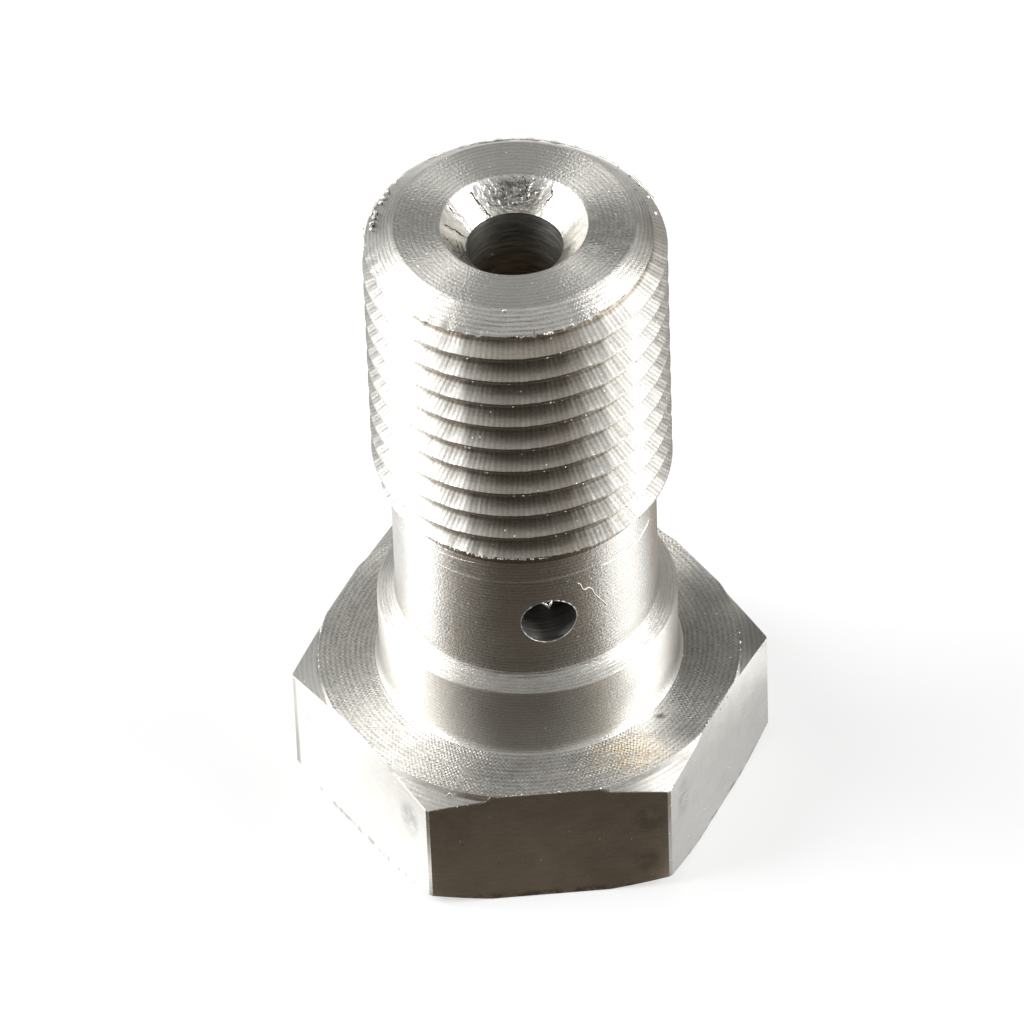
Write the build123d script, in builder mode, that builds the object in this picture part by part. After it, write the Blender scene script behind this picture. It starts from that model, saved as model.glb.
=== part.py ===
from build123d import *

import os
from math import cos, radians, tan

# Banjo bolt: a screw that clamps a ring fitting to a port and feeds fluid through its own shank.
# One piece of hexagon bar, turned all over but for the six flats, bored along its axis from the
# tip and drilled across the neck. Millimetres.
#
# The bolt stands on its head. The origin is the centre of the head's end face, +Z runs up the
# axis to the threaded tip, and -Y is the outward normal of the front flat.

# Fit: the collar has the nominal size, and the thread's crest clears what slides over the collar
nominal_d = 10.0
crest_allowance = 0.1

# Hexagon head
across_flats = 13.9
head_height = 4.8
corner_break = 0.075
seat_overrun = 0.1  # the flat seat is turned this far past the flats, so it is cut by all six
seat_edge = 0.13  # small 45 degree edge round the seat
crown_angle = 22.0  # fall from the seat's edge to the six corners
end_overrun = 0.18
end_angle = 25.0  # chamfer of the corners at the end face

# Collar that centres the fitting's ring
collar_height = 2.85
seat_fillet = 0.42

# Neck, the waist that lets fluid run round inside the ring
neck_relief = 0.62
neck_length = 5.63
shoulder_angle = 20.0
shoulder_fillet = 0.45

# Threaded end, drawn as a plain cylinder at the thread's crest
thread_length = 10.25
runout_angle = 45.0
tip_height = 0.8
tip_angle = 38.0

# Axial bore, blind, with a countersunk mouth
bore_d = 3.16
mouth_d = 4.84
mouth_angle = 82.0
bore_past_cross = 0.75
drill_point_angle = 118.0

# Cross hole through both walls of the neck
cross_d = 1.87
cross_rise = 2.63
cross_turn = 5.5  # about +Z from the front flat's normal

# Radii
flat_r = across_flats / 2
corner_r = flat_r / cos(radians(30))
collar_r = nominal_d / 2
crest_r = collar_r - crest_allowance / 2
neck_r = collar_r - neck_relief
tip_r = crest_r - tip_height / tan(radians(tip_angle))
end_r = flat_r + end_overrun
seat_r = flat_r + seat_overrun
crown_r = seat_r + seat_edge

# Heights, from the end face up
end_chamfer_z = (corner_r - end_r) * tan(radians(end_angle))
crown_z = head_height - seat_edge
corner_z = crown_z - (corner_r - crown_r) * tan(radians(crown_angle))
collar_z = head_height + collar_height
neck_foot_z = collar_z + neck_relief * tan(radians(shoulder_angle))
neck_top_z = collar_z + neck_length
thread_z = neck_top_z + (crest_r - neck_r) / tan(radians(runout_angle))
tip_z = thread_z + thread_length
cross_z = collar_z + cross_rise
bore_floor_z = cross_z - cross_d / 2 - bore_past_cross
bore_depth = tip_z - bore_floor_z
point_height = bore_d / 2 / tan(radians(drill_point_angle / 2))

# The shoulder's fillet stays on the shoulder
neck_fillet = min(shoulder_fillet, 1.2 * neck_relief)

with BuildPart() as banjo_bolt:
    # The turned profile, as if the bar were round
    with BuildSketch(Plane.XZ) as turned:
        with BuildLine():
            Polyline(
                (0, 0),
                (end_r, 0),
                (corner_r, end_chamfer_z),
                (corner_r, corner_z),
                (crown_r, crown_z),
                (seat_r, head_height),
                (collar_r, head_height),
                (collar_r, collar_z),
                (neck_r, neck_foot_z),
                (neck_r, neck_top_z),
                (crest_r, thread_z),
                (crest_r, tip_z - tip_height),
                (tip_r, tip_z),
                (0, tip_z),
                close=True,
            )
        make_face()
        collar_root = turned.vertices().sort_by_distance((collar_r, head_height))[0]
        fillet(collar_root, seat_fillet)
        neck_root = turned.vertices().sort_by_distance((neck_r, neck_foot_z))[0]
        fillet(neck_root, neck_fillet)
    revolve(axis=Axis.Z)

    # The hexagon bar leaves its six flats on the turned head
    with BuildSketch() as bar:
        RegularPolygon(flat_r, 6, major_radius=False, rotation=0)
        chamfer(bar.vertices(), corner_break)
    extrude(amount=tip_z, mode=Mode.INTERSECT)

    # Countersunk axial bore with the drill's point at its foot
    with Locations((0, 0, tip_z)):
        CounterSinkHole(bore_d / 2, mouth_d / 2, bore_depth, mouth_angle)
    with Locations((0, 0, bore_floor_z)):
        Cone(
            0,
            bore_d / 2,
            point_height,
            align=(Align.CENTER, Align.CENTER, Align.MAX),
            mode=Mode.SUBTRACT,
        )

    # Cross hole, out through the neck on both sides of the bore
    with BuildSketch(Plane.XZ.rotated((0, 0, cross_turn))):
        with Locations((0, cross_z)):
            Circle(cross_d / 2)
    extrude(amount=collar_r, both=True, mode=Mode.SUBTRACT)

banjo_bolt.part.label = "banjo_bolt"

os.makedirs("parts", exist_ok=True)
export_step(banjo_bolt.part, "parts/banjo_bolt.step")
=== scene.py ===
import bpy
import bmesh
import numpy as np
from functools import reduce
from math import atan2, ceil, cos, degrees, floor, hypot, pi, radians, sin, sqrt, tan
from mathutils import Matrix, Vector


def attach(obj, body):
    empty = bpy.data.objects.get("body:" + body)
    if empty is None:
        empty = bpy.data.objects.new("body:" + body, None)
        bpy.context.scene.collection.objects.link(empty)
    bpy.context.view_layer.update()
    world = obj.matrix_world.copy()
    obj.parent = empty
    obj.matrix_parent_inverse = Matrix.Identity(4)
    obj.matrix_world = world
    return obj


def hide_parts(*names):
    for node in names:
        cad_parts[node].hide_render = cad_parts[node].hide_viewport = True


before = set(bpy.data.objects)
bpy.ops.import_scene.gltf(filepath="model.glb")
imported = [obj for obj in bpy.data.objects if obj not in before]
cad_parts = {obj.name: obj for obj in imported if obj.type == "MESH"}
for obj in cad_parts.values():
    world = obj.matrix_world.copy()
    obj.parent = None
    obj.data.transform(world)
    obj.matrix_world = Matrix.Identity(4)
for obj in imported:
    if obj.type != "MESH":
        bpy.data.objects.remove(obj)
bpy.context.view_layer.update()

# A banjo bolt that stands on its head. Lengths are in millimetres and azimuths go round the axis
# from +x, unless a comment says otherwise. The camera is in front, near -y.
MM = 0.001
LENGTH = 24.1

# Head: flats, corner breaks, end chamfer, and a crown that starts with a step down from the seat
HEAD_H = 4.8
FLATS = [(-90, 6.85), (-30, 6.93), (30, 6.95), (90, 6.95), (150, 6.95), (-150, 6.9)]
CORNER_BREAK = 0.0375
END_R, END_SLOPE = 7.13, tan(radians(25))
SEAT_R, CROWN_R, CROWN_STEP, CROWN_SLOPE = 7.05, 7.14, 0.19, tan(radians(16))

# Collar, shoulder, and neck up to the thread's run-out
COLLAR_R, COLLAR_Z, SEAT_FILLET = 5, 7.65, 0.42
NECK_R, SHOULDER, SHOULDER_FILLET = 4.38, radians(20), 0.45
NECK_TOP, CREST_R, RUNOUT_Z = 13.28, 4.95, 13.85
TIP_H, TIP_R = 0.8, 3.926

# Countersink, bore with its drill point, and cross hole
MOUTH_R, MOUTH_Z, MOUTH_HALF_ANGLE = 2.42, 23.134, radians(41)
BORE_R, BORE_FLOOR, POINT_Z = 1.58, 8.595, 7.646
CROSS_R, CROSS_Z, CROSS_AZ = 0.935, 10.28, radians(-84.5)

# Thread of pitch 1: crests and roots, and the height of a crest's lower edge at azimuth 0
ROOT_R, ROOT_FILLET, CREST_HALF = 4.34, 0.17, 0.05
CREST_AT = LENGTH - 1.43 + 95.488 / 360
THREAD_LOW, THREAD_HIGH = NECK_TOP - 0.25, LENGTH - 0.28  # where its rows begin and end
WANDER_CREST, WANDER_LIP, WANDER_TIP = 0.012, 0.022, 0.02  # how ragged its edges are
FADE_TIP, FADE_H = LENGTH - 0.35, 0.3  # the tip's edge is ragged only below this

COLUMNS = 440  # mesh columns round the axis
EASED = 0.012  # how far a sharp edge is eased
HOLE_SIDES = 72


def wave_noise(azimuth, seed, lowest, highest, power=0.5):
    """Smooth noise round the axis, about -1 to 1, from waves of whole numbers of cycles."""
    r = np.random.default_rng(seed)
    total = np.zeros_like(azimuth)
    for n in range(lowest, highest + 1):
        total += np.sin(n * azimuth + r.uniform(0, 2 * pi)) / n**power
    return total / np.abs(total).max()


def add_object(name, data):
    made = bpy.data.objects.new(name, data)
    bpy.context.scene.collection.objects.link(made)
    return made


def add_mesh(name, mesh):
    """Object made from a bmesh, which is used up."""
    data = bpy.data.meshes.new(name)
    mesh.to_mesh(data)
    mesh.free()
    return add_object(name, data)


def to_metres(mesh):
    """Turns the faces outwards, and the millimetres into metres."""
    bmesh.ops.recalc_face_normals(mesh, faces=mesh.faces[:])
    bmesh.ops.scale(mesh, vec=(MM, MM, MM), verts=mesh.verts[:])


def weld(mesh, nearest, shortest):
    bmesh.ops.remove_doubles(mesh, verts=mesh.verts[:], dist=nearest)
    bmesh.ops.dissolve_degenerate(mesh, edges=mesh.edges[:], dist=shortest)


def azimuth_of(v):
    return atan2(v.co.y, v.co.x)


# --- Head outline ---
def crossing(first, second):
    """Point where two lines meet, each given by its direction and its distance from the axis."""
    (a, d), (b, e) = first, second
    return np.linalg.solve([[cos(a), sin(a)], [cos(b), sin(b)]], [d, e])


def head_planes():
    """(direction, distance) of the six flats and of the six narrow corner breaks."""
    flats = [(radians(a), d) for a, d in FLATS]
    breaks = []
    for flat, following in zip(flats, flats[1:] + flats[:1]):
        middle = flat[0] + radians(30)
        reach = crossing(flat, following) @ [cos(middle), sin(middle)]
        breaks.append((middle, reach - CORNER_BREAK))
    return flats, breaks


def head_radius(azimuth):
    reach = np.full_like(azimuth, np.inf)
    flats, breaks = head_planes()
    for direction, distance in flats + breaks:
        c = np.cos(azimuth - direction)
        reach = np.minimum(reach, np.where(c > 0.2, distance / np.maximum(c, 0.2), np.inf))
    return reach


def columns():
    """Evenly spaced azimuths, with the nearest one moved on to each corner of the head."""
    azimuth = -pi + 2 * pi * np.arange(COLUMNS) / COLUMNS
    flats, breaks = head_planes()
    for x, y in [crossing(f, b) for f in flats for b in breaks if cos(f[0] - b[0]) > 0.8]:
        corner = atan2(y, x)
        near = np.argmin(np.abs(np.angle(np.exp(1j * (azimuth - corner)))))
        azimuth[near] = corner
    return azimuth


# --- Thread ---
def groove_radius(azimuth, z):
    """Radius that the threading tool leaves: a 60 degree groove with a rounded root."""
    ragged = WANDER_CREST * wave_noise(azimuth, seed=3, lowest=9, highest=70, power=0.3)
    turns = z - CREST_AT - ragged - azimuth / (2 * pi)  # whole at the lower edges of crests
    from_crest = np.abs((turns - CREST_HALF - 0.5) % 1 - 0.5)
    from_root = 0.5 - from_crest
    arc = ROOT_FILLET * cos(radians(30))
    bottom = ROOT_R + ROOT_FILLET - np.sqrt(np.maximum(ROOT_FILLET**2 - from_root**2, 0))
    flank = ROOT_R + ROOT_FILLET / 2 + (from_root - arc) * sqrt(3)
    return np.minimum(np.where(from_root < arc, bottom, flank), CREST_R)


def blank_radius(azimuth, z):
    """Radius of the turned blank before the thread: neck, run-out, crest cylinder, tip chamfer."""
    lip = WANDER_LIP * wave_noise(azimuth, seed=5, lowest=4, highest=40, power=0.6)
    runout = NECK_R + np.maximum(z - NECK_TOP - lip, 0)
    edge = WANDER_TIP * wave_noise(azimuth, seed=7, lowest=6, highest=60, power=0.4)
    edge = edge * np.clip((FADE_TIP - z) / FADE_H, 0, 1)
    cone = TIP_R + (LENGTH - z - edge) * (CREST_R - TIP_R) / TIP_H
    return np.minimum(np.minimum(runout, cone), CREST_R)


def thread_radius(azimuth, z):
    """Radius of the threaded blank. The last groove doesn't cut into the neck."""
    groove = groove_radius(azimuth, z)
    groove = np.where(z < NECK_TOP + 0.1, np.maximum(groove, NECK_R), groove)
    return np.minimum(blank_radius(azimuth, z), groove)


# Heights of the mesh rows from a root up to the middle of a crest, then down the other flank
ROWS_UP = np.array([0, 0.06, 0.115, 0.1472, 0.25, 0.35, 0.449, 0.462])
ROWS = np.concatenate([ROWS_UP, [0.5], 1 - ROWS_UP[:0:-1]])


def thread_points():
    """Mesh points (radius, azimuth, height) in rows along the helix, so that crests stay sharp."""
    azimuth = columns()
    root_at = CREST_AT + CREST_HALF - 0.5
    first = floor(THREAD_LOW - root_at) - 1
    turns = ceil(THREAD_HIGH - THREAD_LOW) + 3
    base = np.concatenate([root_at + first + k + ROWS for k in range(turns)])
    z = base[:, None] + azimuth[None, :] / (2 * pi)
    a = np.broadcast_to(azimuth, z.shape).copy()
    z, crease = snap_to_creases(a, z)
    torn = torn_edges(z) * crease
    return thread_radius(a, z) + 0.6 * torn, a, z - torn


def snap_to_creases(a, z):
    """Moves, in each column, the nearest row on to where the groove meets the blank's surface."""
    gap = blank_radius(a, z) - groove_radius(a, z)
    below, above = gap[:-1], gap[1:]
    crosses = (below * above < 0) & (np.abs(below - above) > 1e-6)
    share = np.where(crosses, below / np.where(crosses, below - above, 1), 0)
    at = z[:-1] + share * (z[1:] - z[:-1])
    z = z.copy()
    low_side = crosses & (share < 0.5) & (share > 0)
    high_side = crosses & (share >= 0.5)
    z[:-1][low_side] = at[low_side]
    z[1:][high_side] = at[high_side]
    crease = np.zeros(z.shape, bool)
    crease[:-1] |= low_side
    crease[1:] |= high_side
    return z, crease


TORN_CREST, TORN_TIP, TORN_END, TORN_MOST = 0.004, 0.01, 0.008, 0.08  # how far edges are torn


def torn_edges(z):
    """How far torn metal stands out of the thread's edges: most near the thread's two ends."""
    torn = np.random.default_rng(11).exponential(1, z.shape) ** 1.5
    torn[:, 1:] = 0.6 * torn[:, 1:] + 0.4 * torn[:, :-1]
    at_tip = np.exp(-(((z - (LENGTH - 0.6)) / 0.25) ** 2))
    at_end = np.exp(-(((z - (RUNOUT_Z - 0.25)) / 0.3) ** 2))
    out = np.minimum(torn * (TORN_CREST + TORN_TIP * at_tip + TORN_END * at_end), TORN_MOST)
    return np.where(z > NECK_TOP - 0.08, out, 0)


def thread_tube():
    """Tube of the thread, longer than needed. Past the last column a row goes on one turn up."""
    tube = bmesh.new()
    grid = [[tube.verts.new((r * cos(a), r * sin(a), z)) for r, a, z in zip(*row)]
            for row in zip(*thread_points())]
    for j in range(len(grid) - 1):
        for i in range(COLUMNS):
            right = (i + 1) % COLUMNS
            k = j if right else j + len(ROWS)
            if k + 1 < len(grid):
                tube.faces.new((grid[j][i], grid[k][right], grid[k + 1][right], grid[j + 1][i]))
    return tube


def add_thread(mesh):
    """The thread, its ends cut flat. Returns its two end loops, each sorted by azimuth."""
    tube = thread_tube()
    for height, normal in ((THREAD_HIGH, 1), (THREAD_LOW, -1)):
        bmesh.ops.bisect_plane(
            tube, geom=tube.verts[:] + tube.edges[:] + tube.faces[:], dist=1e-5,
            plane_co=(0, 0, height), plane_no=(0, 0, normal), clear_outer=True)
    weld(tube, 2e-4, 1e-4)
    made = {v: mesh.verts.new(v.co) for v in tube.verts}
    for f in tube.faces:
        mesh.faces.new([made[v] for v in f.verts])
    loops = []
    for height in (THREAD_LOW, THREAD_HIGH):
        rim = {made[v] for e in tube.edges if len(e.link_faces) == 1 for v in e.verts
               if abs(v.co.z - height) < 0.01}
        loops.append(sorted(rim, key=azimuth_of))
    tube.free()
    return loops


# --- The rest of the turned surface ---
def arc_points(cx, cz, radius, start, end, steps=8):
    """Points of a fillet in the (radius, height) plane, from one angle to the other, in degrees."""
    return [(cx + radius * cos(radians(t)), cz + radius * sin(radians(t)))
            for t in np.linspace(start, end, steps)]


def crown_top(r):
    """Height of the head's upper side: flat, then down the step, then down the crown."""
    step = np.clip(r - SEAT_R, 0, CROWN_R - SEAT_R) * CROWN_STEP / (CROWN_R - SEAT_R)
    return HEAD_H - step - np.maximum(r - CROWN_R, 0) * CROWN_SLOPE


def head_rings(azimuth):
    """(radius, height) rows from the end face up to the seat. Both vary round the axis."""
    edge = head_radius(azimuth)
    level = np.zeros_like(azimuth)
    end = np.minimum(edge, END_R)
    bevel = edge - 0.02
    crown = np.minimum(bevel, CROWN_R)
    seat = np.minimum(bevel, SEAT_R)
    return [(end * 0.5, level), (end - 0.05, level), (end, level + EASED),
            (edge, np.maximum(edge - END_R, 0) * END_SLOPE + EASED),
            (edge, crown_top(edge) - 0.03), (bevel, crown_top(bevel)),
            (crown, crown_top(crown)), (seat, crown_top(seat))]


def neck_rings():
    """(radius, height) of the round rows from the seat up to the thread."""
    beside = 0.04  # the rows on both sides of the collar's edge
    foot_z = COLLAR_Z + (COLLAR_R - NECK_R) * tan(SHOULDER)
    centre_z = foot_z + SHOULDER_FILLET / tan((pi / 2 + SHOULDER) / 2)
    seat_fillet = arc_points(COLLAR_R + SEAT_FILLET, HEAD_H + SEAT_FILLET, SEAT_FILLET, 270, 180)
    shoulder_fillet = arc_points(NECK_R + SHOULDER_FILLET, centre_z, SHOULDER_FILLET,
                                 270 - degrees(SHOULDER), 180)
    return [(6.3, HEAD_H), *seat_fillet, (COLLAR_R, COLLAR_Z - beside),
            (COLLAR_R - EASED, COLLAR_Z - EASED),
            (COLLAR_R - beside, COLLAR_Z + beside * tan(SHOULDER)), *shoulder_fillet,
            (NECK_R, CROSS_Z - CROSS_R - 0.06), (NECK_R, CROSS_Z + CROSS_R + 0.06)]


def tip_rings():
    """(radius, height) of the rows over the tip face, down the countersink and the bore."""
    midway = 2
    return [(TIP_R + 0.03, LENGTH - 0.023), (TIP_R - 0.03, LENGTH), (3.2, LENGTH),
            (MOUTH_R + 0.03, LENGTH), (MOUTH_R - 0.02, LENGTH - 0.023),
            (midway, MOUTH_Z + (midway - BORE_R) / tan(MOUTH_HALF_ANGLE)),
            (BORE_R, MOUTH_Z), (BORE_R, 20), (BORE_R, 16),
            (BORE_R, CROSS_Z + CROSS_R + 0.3), (BORE_R, BORE_FLOOR)]


def add_rings(mesh, azimuth, rows):
    return [[mesh.verts.new((r * cos(a), r * sin(a), z))
             for a, r, z in zip(*np.broadcast_arrays(azimuth, *row))] for row in rows]


def join_rings(mesh, rings):
    for below, above in zip(rings, rings[1:]):
        for i in range(COLUMNS):
            j = (i + 1) % COLUMNS
            mesh.faces.new((below[i], below[j], above[j], above[i]))


def azimuth_after(loop, k):
    """Azimuth of the point after the k-th, counted on past a turn where the loop starts again."""
    return azimuth_of(loop[(k + 1) % len(loop)]) + (2 * pi if k + 1 >= len(loop) else 0)


def zip_loops(mesh, below, above):
    """Triangles between two loops round the axis that needn't have the same number of points."""
    i = j = 0
    n, m = len(below), len(above)
    while i < n or j < m:
        here_below, here_above = below[i % n], above[j % m]
        if j >= m or (i < n and azimuth_after(below, i) <= azimuth_after(above, j)):
            i += 1
            corner = below[i % n]
        else:
            j += 1
            corner = above[j % m]
        mesh.faces.new((here_below, corner, here_above))


def fan(mesh, ring, z, upward):
    """Closes a ring with triangles to a point on the axis."""
    centre = mesh.verts.new((0, 0, z))
    for first, second in zip(ring, ring[1:] + ring[:1]):
        pair = (first, second) if upward else (second, first)
        mesh.faces.new((*pair, centre))


def build_bolt():
    """The whole turned bolt as one closed mesh, without its cross hole."""
    azimuth = columns()
    mesh = bmesh.new()
    lower = add_rings(mesh, azimuth, head_rings(azimuth) + neck_rings())
    join_rings(mesh, lower)
    fan(mesh, lower[0], 0, upward=False)
    thread_low, thread_high = add_thread(mesh)
    zip_loops(mesh, lower[-1], thread_low)
    upper = add_rings(mesh, azimuth, tip_rings())
    zip_loops(mesh, thread_high, upper[0])
    join_rings(mesh, upper)
    fan(mesh, upper[-1], POINT_Z, upward=True)
    weld(mesh, 1e-4, 5e-5)
    to_metres(mesh)
    return add_mesh("bolt", mesh)


def drill_cross_hole(bolt):
    drill = bmesh.new()
    bmesh.ops.create_cone(drill, cap_ends=True, segments=HOLE_SIDES, radius1=CROSS_R * MM,
                          radius2=CROSS_R * MM, depth=2 * COLLAR_R * MM * 1.02)
    tool = add_mesh("drill", drill)
    tool.matrix_world = (Matrix.Translation((0, 0, CROSS_Z * MM))
                         @ Matrix.Rotation(CROSS_AZ, 4, "Z")
                         @ Matrix.Rotation(pi / 2, 4, "Y"))
    cut = bolt.modifiers.new("cross", "BOOLEAN")
    cut.object = tool
    cut.operation = "DIFFERENCE"
    cut.solver = "EXACT"
    bpy.context.view_layer.update()
    evaluated = bolt.evaluated_get(bpy.context.evaluated_depsgraph_get())
    result = bpy.data.meshes.new_from_object(evaluated)
    bolt.modifiers.clear()
    bolt.data = result
    bpy.data.objects.remove(tool)


# --- Camera ---
YAW, RISE, ROLL = (radians(a) for a in (-3.488, 44.178, -2.134))
AWAY, FOCAL_PX, PHOTO_PX, SENSOR = 371, 11266.59, 1024, 36
AIM_Z, AIM_LEFT, AIM_DOWN = LENGTH - 11, 0.356, 1.408  # aim: height on the axis, then aside from it


def add_camera():
    """Seen from the front and above, through a long lens."""
    right = Vector((cos(YAW), sin(YAW), 0))
    forward = Vector((-sin(YAW) * cos(RISE),
                      cos(YAW) * cos(RISE), -sin(RISE)))
    up = right.cross(forward)
    side = right * cos(ROLL) + up * sin(ROLL)
    top = up * cos(ROLL) - right * sin(ROLL)
    aim = Vector((0, 0, AIM_Z)) - AIM_LEFT * side - AIM_DOWN * top
    place = (aim - AWAY * forward) * MM
    data = bpy.data.cameras.new("camera")
    data.sensor_width = SENSOR
    data.lens = SENSOR * FOCAL_PX / PHOTO_PX
    data.clip_start, data.clip_end = 0.01, 20
    camera = add_object("camera", data)
    turn = Matrix((side, top, -forward)).transposed().to_4x4()
    camera.matrix_world = Matrix.Translation(place) @ turn
    bpy.context.scene.camera = camera


# --- Nodes ---
class Tree:
    """Short ways to lay out the nodes of a material or of the world."""

    def __init__(self, owner):
        owner.use_nodes = True
        self.nodes, self.links = owner.node_tree.nodes, owner.node_tree.links
        self.nodes.clear()

    def add(self, kind, *values, **settings):
        """A node with its settings made and its first sockets fed. None leaves a socket alone."""
        node = self.nodes.new("ShaderNode" + kind)
        for name, value in settings.items():
            setattr(node, name, value)
        for socket, value in zip(node.inputs, values):
            self.feed(socket, value)
        return node

    def feed(self, socket, value):
        if isinstance(value, bpy.types.NodeSocket):
            self.links.new(value, socket)
        elif value is not None:
            socket.default_value = value

    def fill(self, node, **named):
        """The node, with its sockets of those names fed."""
        for name, value in named.items():
            self.feed(node.inputs[name], value)
        return node

    def math(self, operation, *values):
        return self.add("Math", *values, operation=operation).outputs[0]

    def vector(self, operation, *values):
        node = self.add("VectorMath", *values, operation=operation)
        return node.outputs[1 if operation in ("LENGTH", "DOT_PRODUCT") else 0]

    def axes(self, vector):
        return self.add("SeparateXYZ", vector).outputs

    def pack(self, x, y, z):
        return self.add("CombineXYZ", x, y, z).outputs[0]

    def azimuth(self, x, y):
        """Azimuth from the front in radians, left negative."""
        return self.math("ARCTAN2", x, self.times(y, -1))

    def radius(self, x, y):
        return self.vector("LENGTH", self.pack(x, y, 0))

    def scale(self, value, low, high, to_low=0, to_high=1, smooth=True):
        """The value taken from one range to another, clamped, with soft ends if smooth."""
        kind = "SMOOTHSTEP" if smooth else "LINEAR"
        return self.add("MapRange", value, low, high, to_low, to_high,
                        interpolation_type=kind).outputs[0]

    def curve(self, value, points):
        """A smooth curve through (value, result) points, both from 0 to 1."""
        node = self.add("FloatCurve")
        line = node.mapping.curves[0]
        for place, (x, y) in enumerate(points):
            if place < 2:
                line.points[place].location = (x, y)
            else:
                line.points.new(x, y)
        node.mapping.update()
        return self.fill(node, Value=value).outputs[0]

    def chain(self, operation, values):
        return reduce(lambda total, value: self.math(operation, total, value), values)

    def sum(self, *values):
        return self.chain("ADD", values)

    def times(self, *values):
        return self.chain("MULTIPLY", values)

    def highest(self, *values):
        return self.chain("MAXIMUM", values)

    def noise(self, vector, scale, detail, roughness):
        node = self.add("TexNoise", vector)
        return self.fill(node, Scale=scale, Detail=detail, Roughness=roughness).outputs[0]

    def spot(self, place, centre, size, soft):
        """1 inside an ellipsoid round a point, fading out towards its rim."""
        away = self.vector("DIVIDE", self.vector("SUBTRACT", place, centre), size)
        return self.scale(self.vector("LENGTH", away), 1, 1 - soft)

    def blend(self, share, first, second):
        """Number between two others."""
        return self.add("Mix", share, None, first, second).outputs[0]

    def colour(self, share, first, second):
        """Colour between two others, each given as three numbers or a socket."""
        node = self.add("Mix", share, data_type="RGBA")
        for socket, value in ((node.inputs[6], first), (node.inputs[7], second)):
            self.feed(socket, (*value, 1) if isinstance(value, tuple) else value)
        return node.outputs[2]

    def mix(self, share, first, second):
        """Shader between two others."""
        return self.add("MixShader", share, first.outputs[0], second.outputs[0])

    def seen_or_mirrored(self):
        """1 for camera, glossy and transmission rays, 0 for the rays that light the object."""
        path = self.add("LightPath")
        mirrored = self.highest(path.outputs["Is Glossy Ray"], path.outputs["Is Transmission Ray"])
        return self.highest(path.outputs["Is Camera Ray"], mirrored)

    def show_light(self, share, colour, strength):
        """Ends a material that glows in a share of its surface and is clear elsewhere."""
        clear, glow = self.add("BsdfTransparent"), self.add("Emission", colour, strength)
        self.add("OutputMaterial", self.mix(share, clear, glow).outputs[0])


# --- World, floor and lights ---
# Lengths are in metres here, and azimuths in degrees from the front, left negative. Reflectors
# and cards are seen only mirrored in the bolt.
WHITE = (1, 1, 1)
WORLD_LEVEL = 0.3  # what the world gives as light; where it is seen it is white
FLOOR_SIZE, FLOOR_COLOUR, FLOOR_GLOW = 3, (0.95, 0.95, 0.95), 0.6
FLOOR_Z, REFLECTORS_Z = -2e-5, -1e-5


def build_world():
    world = bpy.data.worlds.new("world")
    bpy.context.scene.world = world
    tree = Tree(world)
    level = tree.scale(tree.seen_or_mirrored(), 0, 1, WORLD_LEVEL)
    tree.add("OutputWorld", tree.add("Background", (*WHITE, 1), level).outputs[0])


def add_sheet(name, corners, only_mirrored=True):
    """A sheet that isn't part of the bolt, and the nodes of its material."""
    data = bpy.data.meshes.new(name)
    data.from_pydata(corners, [], [(0, 1, 2, 3)])
    sheet = add_object(name, data)
    material = bpy.data.materials.new(name)
    data.materials.append(material)
    if only_mirrored:
        for ray in ("camera", "diffuse", "shadow", "volume_scatter"):
            setattr(sheet, "visible_" + ray, False)
    return sheet, Tree(material)


def add_flat_sheet(name, s, height, only_mirrored):
    corners = [(-s, -s, 0), (s, -s, 0), (s, s, 0), (-s, s, 0)]
    sheet, tree = add_sheet(name, corners, only_mirrored)
    sheet.location.z = height
    return sheet, tree


def build_floor():
    """White where it is seen or mirrored, apart from a share that keeps the object's shadow."""
    _, tree = add_flat_sheet("floor", FLOOR_SIZE, FLOOR_Z, False)
    diffuse, glow = tree.add("BsdfDiffuse", (*FLOOR_COLOUR, 1)), tree.add("Emission", (*WHITE, 1))
    share = tree.times(tree.seen_or_mirrored(), FLOOR_GLOW)
    tree.add("OutputMaterial", tree.mix(share, diffuse, glow).outputs[0])


# Brightness of the reflectors that lie round the bolt, by azimuth: next to the head, further out,
# where the neck mirrors them, and far out for the thread
REFLECTOR_SIZE, REFLECTOR_TOP = 0.5, 4
NEAR_HEAD = [(-180, 1.2), (-120, 2.4), (-95, 2.6), (-60, 2.5), (-37, 2.6), (-29, 1.6), (-23, 0.22),
             (0, 0.2), (28, 0.2), (34, 0.7), (40, 1.05), (90, 1), (130, 0.95), (180, 1.2)]
FURTHER_OUT = [(-180, 1.2), (-150, 1.2), (-130, 1.3), (-108, 2), (-91, 3.8), (-71, 1.6),
               (-54, 0.34), (-36, 0.15), (-12, 0.13), (12, 0.13), (34, 0.16), (50, 0.45), (66, 2.2),
               (86, 3), (106, 1.4), (132, 0.55), (180, 1)]
FAR_OUT = [(-180, 2), (-150, 1.9), (-130, 1.5), (-108, 2.6), (-80, 3.4), (-60, 2.5), (-47, 0.75),
           (-34, 0.14), (-18, 0.03), (14, 0.03), (28, 0.12), (41, 0.6), (56, 1.9), (71, 3),
           (90, 3.3), (110, 2.2), (132, 1), (150, 1.8), (180, 2)]
HEAD_ZONE, FAR_ZONE = (0.0097, 0.011), (0.032, 0.06)  # how far out each gives way to the next
HEAD_ZONE_RIGHT = 0.0005  # how far the part next to the head lies to the right
FLAG_TINT = (1, 0.8, 0.6)


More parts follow.
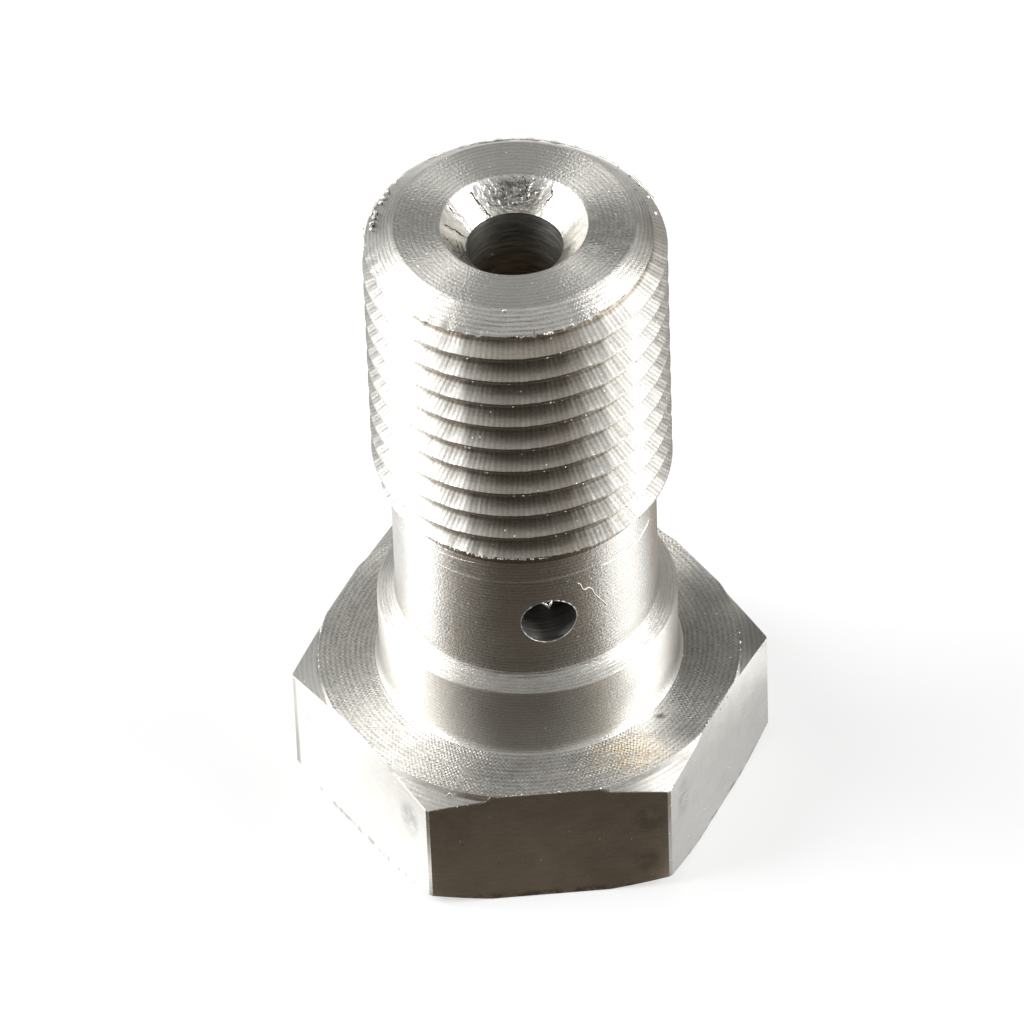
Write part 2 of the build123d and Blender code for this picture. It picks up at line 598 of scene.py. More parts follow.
def build_reflectors():
    """Cards that lie round the bolt: bright at both sides, and dark and warm in front."""
    sheet, tree = add_flat_sheet("reflectors", REFLECTOR_SIZE, REFLECTORS_Z, True)
    sheet.rotation_euler.z = YAW
    x, y, _ = tree.axes(tree.add("TexCoord").outputs["Object"])
    turn = tree.sum(tree.math("DIVIDE", tree.azimuth(x, y), 2 * pi), 0.5)
    near, middle, far = (
        tree.curve(turn, [((a + 180) / 360, level / REFLECTOR_TOP) for a, level in profile])
        for profile in (NEAR_HEAD, FURTHER_OUT, FAR_OUT))
    from_head = tree.radius(tree.math("SUBTRACT", x, HEAD_ZONE_RIGHT), y)
    from_axis = tree.radius(x, y)
    inner = tree.blend(tree.scale(from_head, *HEAD_ZONE), near, middle)
    level = tree.times(tree.blend(tree.scale(from_axis, *FAR_ZONE), inner, far), REFLECTOR_TOP)
    tint = tree.colour(tree.scale(level, 0.3, 1), FLAG_TINT, WHITE)
    tree.show_light(tree.scale(from_axis, REFLECTOR_SIZE, REFLECTOR_SIZE * 0.7), tint, level)


# Upright cards round the bolt: azimuth of the middle, distance, half width, lowest and highest
# edge, brightness at the left and at the right edge, tint
CARDS = [
    ("flag", -8, 0.5, 0.38, -0.05, 0.5, 0.2, 0.2, FLAG_TINT),
    ("side_left", -98, 0.55, 0.42, -0.1, 0.3, 3.2, 3, WHITE),
    ("back", 158, 0.6, 0.66, -0.1, 0.64, 0.34, 0.86, (1, 0.97, 0.88)),
    ("back_left", -134, 0.5, 0.22, 0.2, 0.6, 1.6, 1.6, WHITE),
    ("right_high", 108, 0.5, 0.2, 0.28, 0.8, 3.6, 3.6, WHITE),
    ("low_left", -150, 0.52, 0.17, -0.1, 0.14, 0.4, 0.4, WHITE),
]


def build_card(name, azimuth, away, half, low, high, left_level, right_level, tint):
    """An upright card that faces the bolt, with soft edges."""
    corners = [(-half, 0, low), (half, 0, low), (half, 0, high), (-half, 0, high)]
    card, tree = add_sheet(name, corners)
    turn = YAW + radians(azimuth)
    card.rotation_euler.z = turn
    card.location = Vector((sin(turn), -cos(turn), 0)) * away
    x, _, z = tree.axes(tree.add("TexCoord").outputs["Object"])
    side = tree.scale(tree.math("ABSOLUTE", x), half, half * 0.5)
    top = tree.scale(z, high, (high + max(low, 0)) * 0.5)
    if low > 0:
        top = tree.times(top, tree.scale(z, low, (low + high) * 0.5))
    level = tree.scale(x, -half, half, left_level, right_level, smooth=False)
    tree.show_light(tree.times(side, top), (*tint, 1), level)


# Two soft boxes: azimuth and elevation in degrees, distance, width, height, radiance
SOFTBOXES = [(-93, 38, 0.35, 0.27, 0.18, 9.5), (82, 32, 0.35, 0.22, 0.17, 8)]


def add_softboxes():
    for place, (azimuth, elevation, distance, width, height, radiance) in enumerate(SOFTBOXES):
        lamp = bpy.data.lights.new("softbox", "AREA")
        lamp.shape, lamp.size, lamp.size_y = "RECTANGLE", width, height
        lamp.energy = radiance * pi * width * height
        box = add_object("softbox_%d" % place, lamp)
        a, e = radians(azimuth - 90) + YAW, radians(elevation)
        towards = Vector((cos(a) * cos(e), sin(a) * cos(e), sin(e)))
        box.location = towards * distance + Vector((0, 0, LENGTH / 2 * MM))
        box.rotation_euler = towards.to_track_quat("Z", "Y").to_euler()


# --- Steel, as each tool left it, with painted light and shade on some parts ---
STEEL = (0.4, 0.3895, 0.364)
# Pale specks are dust and painted sparkle: spots of near-white steel
PALE_SPECK, DARK_SPECK = (0.95, 0.94, 0.92), 0.3
# What is left of the steel's colour where it is darkened: painted shade in the thread, the flats'
# darker lower edge and corner, and dirt in cracks
GROOVE_SHADE, EDGE_DARK, CRACK_DIRT = (0.52, 0.47, 0.41), (0.36, 0.355, 0.345), (0.06, 0.058, 0.05)


def steel(level):
    return tuple(c * level for c in STEEL)


class Finish(Tree):
    """A steel surface: its place in mm, the way round the axis, and what is built up on it."""

    def __init__(self, name):
        self.material = bpy.data.materials.new(name)
        super().__init__(self.material)
        self.shader = self.fill(self.add("BsdfPrincipled"), Metallic=1)
        self.add("OutputMaterial", self.shader.outputs[0])
        metres = self.add("TexCoord").outputs["Object"]
        self.place = self.vector("MULTIPLY", metres, (1000, 1000, 1000))
        self.x, self.y, self.z = self.axes(self.place)
        self.r = self.radius(self.x, self.y)
        self.along = self.math("SUBTRACT", self.r, self.times(self.z, 0.7))
        self.ux = self.math("DIVIDE", self.x, self.r)
        self.uy = self.math("DIVIDE", self.y, self.r)
        self.normal = None

    def turned(self, anisotropy):
        """Grooved round the axis: highlights spread across the grooves."""
        round_it = self.vector("NORMALIZE", self.vector("CROSS_PRODUCT", (0, 0, 1), self.place))
        self.fill(self.shader, Anisotropic=anisotropy, Tangent=round_it)
        self.feed(self.shader.inputs["Anisotropic Rotation"], 0.25)

    def ring(self, per_mm, broken, detail=2, roughness=0.5):
        """Noise in rings round the axis, broken up along them by the second number."""
        vector = self.pack(self.times(self.along, per_mm), self.times(self.ux, broken),
                           self.times(self.uy, broken))
        return self.noise(vector, 1, detail, roughness)

    def grain(self, per_mm, detail=2, roughness=0.5):
        """Noise that is alike in all directions."""
        return self.noise(self.place, per_mm, detail, roughness)

    def bump(self, height, microns):
        """Adds a height of 0 to 1 to the surface."""
        node = self.fill(self.add("Bump"), Strength=1, Distance=microns * 1e-6, Height=height,
                         Normal=self.normal)
        self.normal = node.outputs[0]

    def swing(self, noise, spread=0.16):
        """Noise round 0.5 taken to a number from -1 to 1."""
        return self.scale(noise, 0.5 - spread, 0.5 + spread, -1, 1)

    def chatter(self, count, aside):
        """Waves from -1 to 1 round the axis, as many as the count, that lie aside by an angle."""
        return self.math("SINE", self.sum(self.times(self.azimuth(self.x, self.y), count), aside))

    def specks(self, per_mm, size, share, shift):
        """1 on small spots, in a share of the cells of a Voronoi pattern."""
        vector = self.vector("ADD", self.place, (shift, 0, 0))
        cells = self.fill(self.add("TexVoronoi", vector), Scale=per_mm)
        near = self.scale(cells.outputs["Distance"], size * per_mm, size * per_mm * 0.5)
        chance = self.axes(cells.outputs["Color"])[0]
        return self.times(near, self.math("LESS_THAN", chance, share))

    def tint_spot(self, colour, centre, size, left, patchy=False):
        """Leaves a share of the colour, one or three numbers, in an ellipsoid round a point. Used
        for stains, and for painted shade and painted highlights.
        """
        share = self.spot(self.place, centre, size, 0.7)
        share = self.times(share, self.blotch) if patchy else share
        colour_factor = left if isinstance(left, tuple) else (left,) * 3
        return self.colour(share, colour, self.vector("MULTIPLY", colour, colour_factor))

    def finish(self, level, tone, contrast, roughness, tint_spots=(), dust_and_sparkle=0.25, dark_mask=None,
               colour_factor=GROOVE_SHADE):
        """Colour from a tone of -1 to 1, with spots of stain, painted shade and painted highlight;
        darkened
        parts: painted shade in the thread, the flats' lower edge and corner, and dirt in cracks;
        and
        specks: pale ones that are dust and painted sparkle, and dark ones. The speck share is how
        many.
        """
        colour = self.colour(self.scale(tone, -1, 1, smooth=False),
                             steel(level * (1 - contrast)), steel(level * (1 + contrast)))
        self.blotch = self.scale(self.grain(2.5, 3), 0.3, 0.55)
        for tint_spot in tint_spots:
            colour = self.tint_spot(colour, *tint_spot)
        if dark_mask:
            colour = self.colour(dark_mask, colour, self.vector("MULTIPLY", colour, colour_factor))
        # Pale specks: dust, and painted sparkle
        pale = self.specks(3, 0.03, dust_and_sparkle, 0)
        dark = self.specks(2.5, 0.026, dust_and_sparkle * 0.8, 7.3)
        colour = self.colour(pale, colour, PALE_SPECK)
        colour = self.colour(dark, colour, steel(level * DARK_SPECK))
        roughness = self.sum(roughness, self.times(pale, 0.25), self.times(tone, 0.02))
        self.feed(self.shader.inputs["Base Color"], colour)
        self.fill(self.shader, Roughness=roughness, Normal=self.normal)
        return self.material


BEADS = 256  # marks round the axis that the turning tool's chatter left
MARK_HALF_WIDTH, MARK_HEIGHT = 0.045, 14  # of a deeper tool mark


def turned_finish(name, level, roughness, anisotropy, grooves, arcs, grain, contrast,
                  beads=0.3, tint_spots=(), mark=None, dust_and_sparkle=0.25):
    """Steel turned on the lathe. grooves and grain are (how many a mm, microns), and arcs (how
    many a mm, brokenness, microns). beads is how far chatter breaks up the grooves. mark is the
    height of one deeper tool mark and how far it climbs in a turn; the mark gets a painted
    highlight. The tinted spots hold stains, painted shade and painted highlights."""
    f = Finish(name)
    worn = f.grain(0.9, 4, 0.6)
    drift = f.times(f.grain(0.35, 0), 0.8)
    waves = f.math("SINE", f.times(f.sum(f.times(f.along, grooves[0]), drift), 2 * pi))
    chatter = f.chatter(BEADS, f.times(f.grain(1.1), 14))
    patchy = f.scale(f.ring(grooves[0] * 0.5, 9, 2), 0.3, 0.7)
    dots = f.sum(1, f.times(f.sum(chatter, -1), f.sum(0.5, f.times(patchy, 0.5)), beads / 2))
    beaded = f.times(waves, dots, f.sum(0.6, f.times(patchy, 0.6)))
    lines = f.ring(arcs[0], arcs[1], 3, 0.6)
    fine = f.grain(grain[0], 1)
    f.turned(anisotropy)
    f.bump(beaded, grooves[1])
    f.bump(lines, arcs[2])
    f.bump(fine, grain[1])
    tone = f.sum(f.times(f.swing(worn, 0.25), 0.3), f.times(beaded, 0.8),
                 f.times(f.swing(lines), 0.012 * arcs[2]), f.times(f.swing(fine), 0.35))
    if mark:
        height = f.sum(mark[0], f.times(f.azimuth(f.x, f.y), mark[1] / (2 * pi)))
        scored = f.scale(f.math("ABSOLUTE", f.math("SUBTRACT", f.z, height)), MARK_HALF_WIDTH, 0)
        f.bump(scored, MARK_HEIGHT)
        # Painted highlight: the mark is painted brighter than the steel round it
        tone = f.sum(tone, f.times(scored, 1.5))
    return f.finish(level, tone, contrast, roughness, tint_spots, dust_and_sparkle)


def neck_finish():
    return turned_finish(
        "neck", level=1, roughness=0.32, anisotropy=0.82, grooves=(10, 1.2), arcs=(12, 3, 14),
        grain=(12, 13), contrast=0.16, mark=(LENGTH - 11.914, 0.637), dust_and_sparkle=0.6)


def collar_finish():
    # Painted light: level 1.45 paints the collar brighter than the neck, a painted highlight on its
    # sides; painted shade takes its front back down, and the right front gets more painted
    # highlight
    painted_shade_front = ((-0.3, -5, 6.2), (3.8, 3.2, 3), 0.7)
    painted_highlight_right = ((3.7, -3.3, 5.4), (2, 2.4, 1.3), 1.4)
    return turned_finish(
        "collar", level=1.45, roughness=0.37, anisotropy=0.92, grooves=(10, 1), arcs=(10, 2, 11),
        grain=(12, 9), contrast=0.11, tint_spots=[painted_shade_front, painted_highlight_right], dust_and_sparkle=0.4)


def shoulder_finish():
    # Painted highlights on the left and the right
    painted_highlight_left = ((-4.7, -0.7, 7.8), (1.3, 2.6, 1), 1.5)
    painted_highlight_right = ((3.7, -3, 7.8), (2, 2.2, 1), 1.25)
    return turned_finish(
        "shoulder", level=1.05, roughness=0.42, anisotropy=0.92, grooves=(7.5, 4), arcs=(9, 6, 34),
        grain=(15, 8), contrast=0.18, beads=0.8, tint_spots=[painted_highlight_left, painted_highlight_right])


def seat_finish():
    # Painted shade on the right side, the front right and the right back, and a painted highlight
    # along the front; the warm patch and the dark spot are stains
    painted_shade_side = ((5.9, -2, 4.8), (2.7, 6.2, 2), 0.54)
    tanned_front = ((2.8, -5.3, 4.8), (1.8, 1.2, 1), (1.12, 1.02, 0.88), True)
    dark_spot = ((4.05, -3.7, 4.7), (0.3, 0.2, 0.3), 0.35)
    painted_shade_front = ((4.64, -4.4, 4.8), (1.2, 1.2, 1), 0.66)
    painted_shade_back = ((6.4, 2.6, 4.8), (1.3, 2.2, 1), 0.66)
    painted_highlight_front = ((0.3, -6.4, 4.8), (3.2, 1.1, 1), 1.22)
    return turned_finish(
        "seat", level=1.08, roughness=0.5, anisotropy=0.95, grooves=(5.9, 6), arcs=(8, 8, 20),
        grain=(13, 11), contrast=0.36, beads=1.3,
        tint_spots=[painted_shade_side, tanned_front, dark_spot, painted_shade_front, painted_shade_back, painted_highlight_front])


def crown_finish():
    # Painted shade on the right, and a painted highlight on the front right corner
    painted_shade_right = ((8, 0, 4.6), (1.7, 2.4, 1.5), 0.48)
    painted_highlight_corner = ((4, -6.93, 4.6), (1.6, 1.6, 1.5), 1.7)
    return turned_finish(
        "crown", level=1.05, roughness=0.45, anisotropy=0.94, grooves=(5, 2.5), arcs=(8, 6, 20),
        grain=(15, 5), contrast=0.14, tint_spots=[painted_shade_right, painted_highlight_corner])


def step_finish():
    """The step round the seat, smooth from the chamfering tool."""
    f = Finish("step")
    lines = f.ring(6, 12, 3, 0.6)
    f.bump(lines, 8)
    return f.finish(1.1, f.swing(lines), 0.12, 0.27)


def tip_finish():
    # Patchy painted shade on the right and the left of the tip face
    painted_shade_right = ((3, -1.1, 24.1), (1.5, 2.6, 1), 0.76, True)
    painted_shade_left = ((-3.2, -0.2, 24.1), (1.2, 2.4, 1), 0.88, True)
    return turned_finish(
        "tip", level=0.86, roughness=0.45, anisotropy=0.95, grooves=(6.5, 1.8), arcs=(9, 5, 24),
        grain=(11, 22), contrast=0.15, beads=0.5, tint_spots=[painted_shade_right, painted_shade_left], dust_and_sparkle=0.7)


def chamfer_finish():
    # Painted shade at the back left, the right and the back right, and patchy painted shade in
    # front
    painted_shade_back_left = ((-4, 2.1, 23.8), (1.9, 2.6, 1.2), 0.66)
    painted_shade_right = ((4.9, 0.6, 23.5), (1.6, 2.8, 1.6), 0.58)
    painted_shade_back_right = ((3.7, 3.5, 23.7), (2.4, 2.4, 1.8), 0.6)
    patchy_painted_shade_front = ((2.2, -4, 23.7), (1.6, 1.2, 1), 0.85, True)
    return turned_finish(
        "chamfer", level=1.06, roughness=0.38, anisotropy=0.88, grooves=(5.4, 6.5),
        arcs=(8, 5, 32), grain=(13, 7), contrast=0.22, beads=0.6,
        tint_spots=[painted_shade_back_left, painted_shade_right, painted_shade_back_right, patchy_painted_shade_front])


# The countersink's dirty back and left side, and its cracks: azimuth from the back at the rim and
# at the bore, half width in mm, and the parts of the way down where each starts and ends
MOUTH_BACK, MOUTH_LEFT, MOUTH_LEFT_SIZE = (0.1, 2.1, 23.6), (-1.9, -0.9, 23.7), (1.1, 1.3, 0.9)
CRACKS = [(-0.66, -0.44, 0.04, 0.22, 1), (0.19, 0.38, 0.03, 0.12, 0.9),
          (0.71, 0.68, 0.032, 0.25, 0.55), (-1.45, -1.2, 0.045, 0.2, 1),
          (-1.64, -1.62, 0.038, 0.08, 0.25), (-1.02, -1.06, 0.032, 0.08, 0.3)]


def cracks(f):
    """1 in the cracks, which wander a little and are fainter in places."""
    turn = f.math("ARCTAN2", f.x, f.y)
    down = f.scale(f.r, MOUTH_R, BORE_R, smooth=False)
    wander = f.times(f.swing(f.grain(3.5), 0.4), 0.1)
    lines = []
    for at_rim, at_bore, width, start, end in CRACKS:
        off = f.times(f.sum(turn, f.times(down, at_rim - at_bore), -at_rim), 2)
        line = f.scale(f.math("ABSOLUTE", f.sum(off, wander)), width, width * 0.4)
        length = f.scale(down, start - 0.08, start), f.scale(down, end + 0.08, end)
        lines.append(f.times(line, *length))
    return f.times(f.highest(*lines), f.scale(f.grain(3, 1), 0.38, 0.48, 0.4, 1))


def mouth_finish():
    """The countersink: scraped smooth, with cracks, and rough and dirty at its back and left."""
    f = Finish("mouth")
    blotches = f.swing(f.grain(1.6, 3, 0.6))
    scraped = f.ring(3, 7, 3, 0.6)
    crack = cracks(f)
    rough_parts = f.highest(f.spot(f.place, MOUTH_BACK, (1.5, 1, 0.9), 0.6),
                            f.spot(f.place, MOUTH_LEFT, MOUTH_LEFT_SIZE, 0.5))
    f.turned(0.6)
    f.bump(scraped, 22)
    f.bump(f.grain(4.5), 24)
    f.bump(f.times(f.grain(5.5), rough_parts), 90)
    f.bump(crack, -8)
    tone = f.sum(f.times(blotches, 0.5), f.times(f.swing(scraped), 0.5))
    tint_spots = [(MOUTH_BACK, (1.3, 0.8, 0.8), 0.55),
              (MOUTH_BACK, (1.2, 0.7, 0.7), 0.7, True),
              (MOUTH_LEFT, MOUTH_LEFT_SIZE, (0.5, 0.49, 0.45)),
              (MOUTH_LEFT, MOUTH_LEFT_SIZE, 0.7, True)]
    return f.finish(1.3, tone, 0.2, 0.3, tint_spots, dark_mask=crack, colour_factor=CRACK_DIRT)


THREAD_BEADS = 174  # marks round one turn of the thread
SHADED_SIDE = (0.01, -1, 0)  # the side on which the flanks get painted shade


def thread_finish():
    """Cut with a chattering tool: fine marks across the flanks, and painted shade deep in the
    grooves and on the flanks that face the front.
    """
    f = Finish("thread")
    f.turned(0.2)
    chatter = f.chatter(THREAD_BEADS, f.times(f.grain(0.7, 1), 7))
    chatter = f.times(chatter, f.scale(f.grain(1.6), 0.3, 0.55, 0.3, 1))
    lines = f.ring(9, 3, 2, 0.6)
    fine = f.grain(15)
    f.bump(chatter, 1.1)
    f.bump(lines, 2)
    f.bump(fine, 1.5)
    tone = f.sum(f.times(chatter, 0.7), f.times(f.swing(fine), 0.5), f.times(f.swing(lines), 0.3))
    # Painted shade: all round deep in the grooves, and over the flanks that face the front
    facing = f.vector("DOT_PRODUCT", f.pack(f.ux, f.uy, 0), SHADED_SIDE)
    flanks = f.scale(f.r, CREST_R - 0.1, ROOT_R + 0.16, 0.78, 0.9)
    roots = f.scale(f.r, CREST_R - 0.4, CREST_R - 0.5)
    dark_mask = f.highest(f.times(flanks, f.scale(facing, 0.87, 0.985)), roots)
    # Painted shade on the thread's left side
    painted_shade_left = ((-4.95, 0.3, 16), (0.9, 2.2, 9.5), 0.76)
    return f.finish(0.98, tone, 0.15, 0.36, [painted_shade_left], dust_and_sparkle=0.5, dark_mask=dark_mask)


SMUDGES = [((3.4, -6.85, 3.2), (0.8, 0.5, 0.8), 0.72, True),
           ((3.3, -6.85, 1.2), (0.7, 0.5, 0.7), 0.74, True),
           ((4.6, -6, 3.2), (0.5, 0.6, 1.2), 0.75, True),
           ((-4.5, -5.9, 3.2), (0.7, 0.7, 1), 0.62, True),
           ((-7.5, -0.8, 3.4), (0.5, 0.8, 1), 0.6, True)]


def flats_finish():
    """The drawn bar's flats, faintly streaked, and darker along the lower edge and at the leftmost
    corner.
    """
    f = Finish("flats")
    streaks = f.noise(f.vector("MULTIPLY", f.place, (2, 2, 13)), 1, 3, 0.6)
    fine = f.grain(15, 2, 0.7)
    f.bump(streaks, 4)
    f.bump(fine, 3)
    tone = f.sum(f.times(f.swing(streaks), 0.5), f.times(f.swing(fine), 0.6),
                 f.times(f.swing(f.grain(1, 3)), 0.4))
    roughness = f.sum(0.27, f.times(f.grain(3, 3), 0.08))
    broken = f.scale(f.grain(3, 3), 0.45, 0.62)
    low_edge = f.times(f.scale(f.z, 0.34, 0.1), broken, 0.75)
    left_corner = f.times(f.scale(f.r, 7.8, 7.9), f.scale(f.x, -7, -7.6))
    return f.finish(1, tone, 0.1, roughness, SMUDGES, dark_mask=f.highest(low_edge, left_corner),
                    colour_factor=EDGE_DARK)


def bore_finish():
    """Dark and ringed, and brown further down. The dark is painted shade: the steel inside the bore
    and the cross hole is painted at half brightness.
    """
    f = Finish("bore")
    rings = f.ring(9, 1.5, 3, 0.7)
    f.turned(0.8)
    f.bump(rings, 30)
    olive = ((0, 0.5, 19), (3, 3, 6), (1.05, 0.99, 0.86))
    brown = ((0, 1.2, 20), (2.2, 1.8, 2.4), (1.2, 0.92, 0.68))
    return f.finish(0.5, f.swing(rings, 0.25), 0.4, 0.42, [olive, brown])


def burr_finish():
    """Torn metal: bright and rough."""
    f = Finish("burr")
    f.bump(f.grain(20, 1), 8)
    tone = f.swing(f.grain(12))
    return f.finish(1.55, tone, 0.14, 0.4, dust_and_sparkle=0)


def zone_of(centre, normal):
    """The name of the finish that a face gets, from its middle in mm and its direction."""
    r, z = hypot(centre.x, centre.y), centre.z
    outward = (centre.x * normal.x + centre.y * normal.y) / max(r, 1e-6)
    hole_axis = Vector((cos(CROSS_AZ), sin(CROSS_AZ), 0))
    from_hole_axis = hole_axis.cross(centre - Vector((0, 0, CROSS_Z))).length
    if r < TIP_R - 0.5 and HEAD_H < z < MOUTH_Z - 0.01:
        return "bore"
    if from_hole_axis < CROSS_R + 0.02 and outward < 0.7 and r < NECK_R + 0.02:
        return "bore"
    if z > MOUTH_Z - 0.01 and r < MOUTH_R:
        return "mouth"
    if z > LENGTH - 0.005 or (z > LENGTH - 0.03 and r < TIP_R):
        return "tip"
    if z > THREAD_LOW:
        cone = TIP_R + (LENGTH - z) * (CREST_R - TIP_R) / TIP_H
        return "chamfer" if normal.z > 0.7 and abs(r - cone) < 0.06 else "thread"
    if z > COLLAR_Z + 0.36:
        return "neck"
    if z > COLLAR_Z - 0.02:
        return "shoulder"
    if z > HEAD_H + 0.12:
        return "collar"
    if abs(normal.z) < 0.1 and r > SEAT_R - 0.3 and z > 0.005:
        return "flats"
    if z > HEAD_H / 2 and r > SEAT_R:
        return "crown" if normal.z > 0.8 else "step"
    return "seat"


def dress(bolt):
    """Gives each face its finish. The flats are shaded flat, the rest smooth."""
    for finish in (neck_finish, collar_finish, shoulder_finish, seat_finish, tip_finish,
                   chamfer_finish, mouth_finish, thread_finish, flats_finish, bore_finish,
                   crown_finish, step_finish):
        bolt.data.materials.append(finish())
    index = {material.name: place for place, material in enumerate(bolt.data.materials)}
    for face in bolt.data.polygons:
        face.material_index = index[zone_of(face.center / MM, face.normal)]
        face.use_smooth = True
    bolt.data.set_sharp_from_angle(angle=radians(18))
    for face in bolt.data.polygons:
        face.use_smooth = face.material_index != index["flats"]


# --- Burrs and swarf: (azimuth in degrees, height) or (azimuth in degrees, size) ---
SWARF = [(-71.7, 11.78), (-70.2, 11.66), (-69.3, 11.42), (-68.1, 11.33), (-66.3, 11.38),
         (-64.7, 11.25), (-63.6, 10.98), (-61.8, 10.76), (-60.4, 10.58), (-58.3, 10.32),
         (-57.2, 10.16), (-55.6, 10.1)]
LEFT_RIDGE = [(-141, 12.69), (-132.5, 12.74), (-124.5, 12.78), (-117, 12.83), (-109.5, 12.86)]
RIGHT_RIDGE = [(-64, 12.15), (-58, 12.07), (-50.5, 12.01), (-43, 11.99), (-34.5, 11.97),
               (-27.5, 12.05), (-21, 12.29)]
NECK_WIRES = [(SWARF, 0.012, 0.024, 0.01), (LEFT_RIDGE, 0.004, 0.013, 0.006),
              (RIGHT_RIDGE, 0.004, 0.03, 0.006)]  # points, lift, radius, radius at the ends
HOOK = [(-87.2, 0, 11.2, 0.02), (-86, 0.03, 11.13, 0.05), (-84.6, 0.04, 11, 0.06),
        (-83.9, 0.05, 11.14, 0.05), (-83.2, 0.02, 11.26, 0.02)]  # azimuth, lift, height, radius
EDGE_CHIPS = [(-101.4, 0.03), (-98.6, 0.024), (-94, 0.034), (-91.3, 0.026), (-82.6, 0.06),
              (-81.2, 0.07), (-79.9, 0.045), (-75.1, 0.026), (-71.3, 0.028), (-126, 0.03)]
OUTLINE_BURRS = [(-190, 0.07), (-193, 0.09), (-197, 0.07), (-200, 0.1), (-206, 0.08),
                 (-209, 0.11), (-213, 0.08), (-219, 0.06), (6, 0.05), (16, 0.06), (24, 0.07),
                 (31, 0.06), (38, 0.07)]
CROWN_BURRS = (-190, -12)  # azimuths round which the crown's edge is most torn
HEAD_EDGE_BURRS = [((-58, 0), 70), ((-120, -60), 26), ((-170, -125), 22)]  # range, how many
ALL_ROUND = (-180, 180)
THREAD_TURNS = 10


def around(azimuth, radius, z):
    """Point at an azimuth in degrees."""
    a = radians(azimuth)
    return Vector((radius * cos(a), radius * sin(a), z))


def add_wire(mesh, points, radii, closed=False, sides=6):
    """Tube through points, as thick at each as its radius; capped unless it closes on itself."""
    n = len(points)
    rings = []
    for k, (p, radius) in enumerate(zip(points, radii)):
        before, after = (k - 1, (k + 1) % n) if closed else (max(k - 1, 0), min(k + 1, n - 1))
        ahead = (points[after] - points[before]).normalized()
        across = ahead.cross(Vector((p.x, p.y, 0))).normalized()
        lift = across.cross(ahead)
        rings.append([mesh.verts.new(p + (across * cos(t) + lift * sin(t)) * radius)
                      for t in np.linspace(0, 2 * pi, sides, endpoint=False)])
    for k in range(n if closed else n - 1):
        first, second = rings[k], rings[(k + 1) % n]
        for i in range(sides):
            j = (i + 1) % sides
            mesh.faces.new((first[i], first[j], second[j], second[i]))
    if not closed:
        mesh.faces.new(rings[0][::-1])
        mesh.faces.new(rings[-1])


def add_neck_wires(mesh):
    """Wires that lie on the neck, thinner at their ends."""
    for points, lift, radius, end_radius in NECK_WIRES:
        radii = [end_radius] + [radius] * (len(points) - 2) + [end_radius]
        add_wire(mesh, [around(a, NECK_R + lift, z) for a, z in points], radii)


def add_crumb(mesh, r, azimuth, radius, z, size):
    """Ragged lump of torn metal, half sunk in the surface."""
    steps = 1 if size < 0.03 else 2
    made = bmesh.ops.create_icosphere(mesh, subdivisions=steps, radius=1)["verts"]
    turn = Matrix.Rotation(r.uniform(0, pi), 3, Vector(r.normal(size=3)))
    stretch = Vector(r.uniform(0.55, 1.35, 3) * size)
    for v in made:
        shape = turn @ Vector([c * w for c, w in zip(v.co, stretch)])
        v.co = around(azimuth, radius, z) + shape * r.uniform(0.6, 1.3)


def scatter(mesh, r, azimuths, radius, z, smallest, largest):
    for azimuth in azimuths:
        add_crumb(mesh, r, azimuth, radius, z, r.uniform(smallest, largest))


def add_hole_burrs(mesh, r):
    """Bead round the cross hole, and a hook of metal at its top."""
    aim = around(degrees(CROSS_AZ), 1, 0)
    side = Vector((-aim.y, aim.x, 0))
    rim = []
    for t in np.linspace(0, 2 * pi, HOLE_SIDES, endpoint=False):
        depth = sqrt(NECK_R**2 - (CROSS_R * cos(t)) ** 2)
        rim.append(aim * (depth - 0.012) + side * (CROSS_R * cos(t))
                   + Vector((0, 0, CROSS_Z + CROSS_R * sin(t))))
    add_wire(mesh, rim, 0.012 + 0.022 * r.random(HOLE_SIDES) ** 2, closed=True)
    hook = [around(a, NECK_R + lift, z) for a, lift, z, _ in HOOK]
    add_wire(mesh, hook, [radius for *_, radius in HOOK])


def add_thread_end_burrs(mesh, r):
    """Ragged bead along the start of the first groove, and crumbs on the run-out's lip."""
    bead = []
    for azimuth in np.linspace(15, 160, 60):
        out, up = r.uniform(-0.02, 0.02), r.uniform(-0.02, 0.02)
        bead.append(around(azimuth, CREST_R - 0.12 + out, LENGTH - 0.7 + up))
    add_wire(mesh, bead, 0.06 * (0.15 + 0.85 * r.random(len(bead)) ** 1.5))
    scatter(mesh, r, r.uniform(-140, -84, 46), 4.62, NECK_TOP + 0.2, 0.025, 0.065)


def add_head_burrs(mesh, r):
    """An arch on the crown, and crumbs along the upper edge of the flats."""
    arch = [around(-116.3 - 0.9 * cos(t), 7.22, 4.52 + 0.26 * sin(t))
            for t in np.linspace(0.1, pi - 0.1, 7)]
    add_wire(mesh, arch, [0.018] + [0.022] * 5 + [0.018])
    for azimuths, count in HEAD_EDGE_BURRS:
        for azimuth in r.uniform(*azimuths, count):
            reach = float(head_radius(np.array([radians(azimuth)]))[0])
            drop = max(reach - SEAT_R, 0) * CROWN_SLOPE + (CROWN_STEP if reach > CROWN_R else 0)
            add_crumb(mesh, r, azimuth, reach - 0.02, HEAD_H - drop, r.uniform(0.01, 0.034))


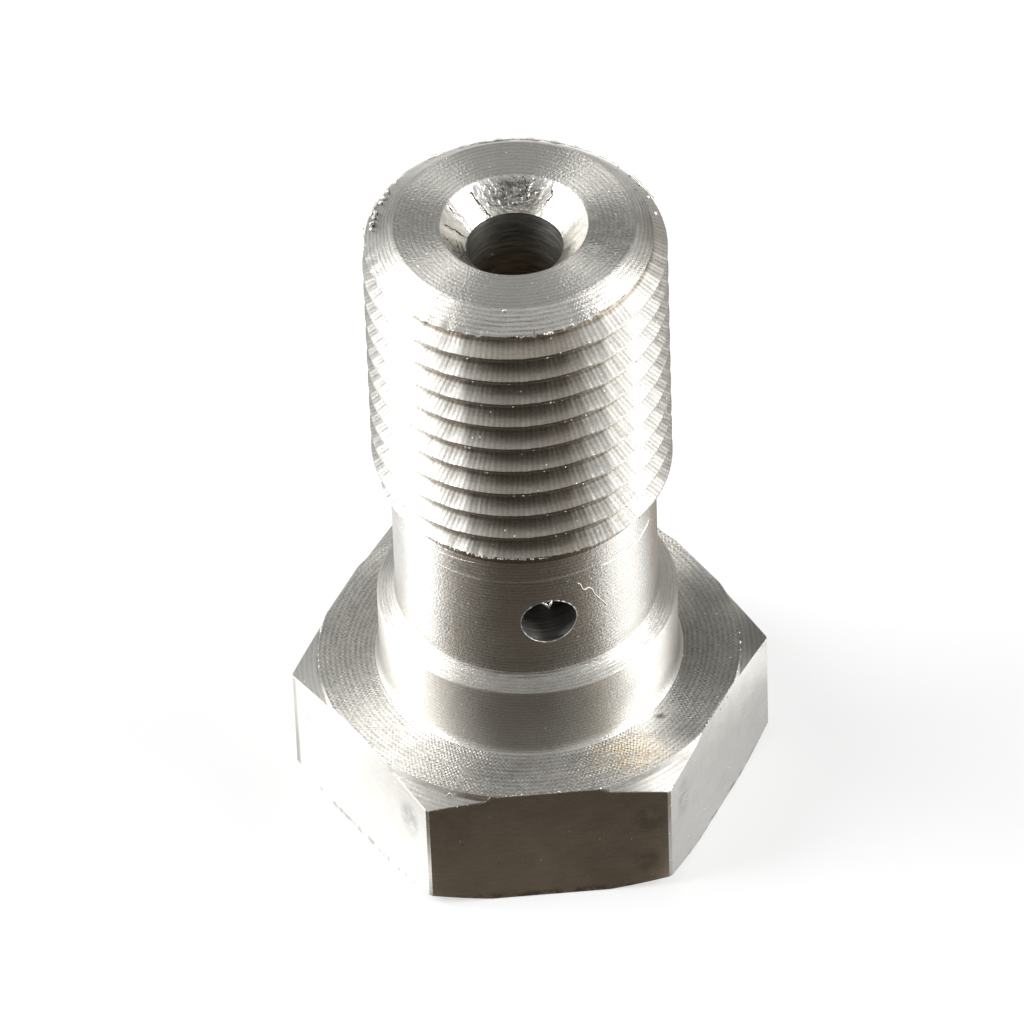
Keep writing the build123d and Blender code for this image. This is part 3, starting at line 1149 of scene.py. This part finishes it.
def add_tip_burrs(mesh, r):
    """Chips and lumps on the edge of the tip chamfer, and one chip on the tip."""
    for chips, inset, below in ((EDGE_CHIPS, 0.28, 0.6), (OUTLINE_BURRS, 0.3, 0.48)):
        for azimuth, size in chips:
            add_crumb(mesh, r, azimuth, CREST_R - inset, LENGTH - below, size)
    add_crumb(mesh, r, -99.5, 4.02, LENGTH - 0.1, 0.075)


def add_thread_burrs(mesh, r):
    """Crumbs along the lower edges of the crests and on the run-out."""
    for azimuth in r.uniform(*ALL_ROUND, 260):
        z = CREST_AT + azimuth / 360 - r.integers(0, THREAD_TURNS)
        if NECK_TOP + 0.6 < z < LENGTH - 0.7:
            add_crumb(mesh, r, azimuth, CREST_R - 0.004, z, r.uniform(0.014, 0.034))
    scatter(mesh, r, r.uniform(*ALL_ROUND, 90), CREST_R - 0.27, NECK_TOP + 0.33, 0.02, 0.05)


def add_seat_burrs(mesh, r):
    """Crumbs on the seat's edge and grit on the seat."""
    for middle in CROWN_BURRS:
        scatter(mesh, r, r.normal(middle, 9, 16), SEAT_R, HEAD_H - 0.03, 0.015, 0.04)
    for azimuth in r.uniform(*ALL_ROUND, 46):
        add_crumb(mesh, r, azimuth, r.uniform(5.6, 7), HEAD_H, r.uniform(0.012, 0.026))


def build_burrs():
    """All torn metal as one mesh."""
    r = np.random.default_rng(21)
    mesh = bmesh.new()
    add_hole_burrs(mesh, r)
    add_neck_wires(mesh)
    add_thread_end_burrs(mesh, r)
    add_head_burrs(mesh, r)
    add_tip_burrs(mesh, r)
    add_thread_burrs(mesh, r)
    add_seat_burrs(mesh, r)
    to_metres(mesh)
    for face in mesh.faces:
        face.smooth = True
    burrs = add_mesh("burrs", mesh)
    burrs.data.materials.append(burr_finish())
    return burrs


bolt = build_bolt()
drill_cross_hole(bolt)
dress(bolt)
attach(bolt, "root")
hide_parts("banjo_bolt")
torn = build_burrs()
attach(torn, "root")

add_camera()
bpy.context.scene.view_settings.view_transform = "Standard"
build_world()
build_floor()
build_reflectors()
for card in CARDS:
    build_card(*card)
add_softboxes()
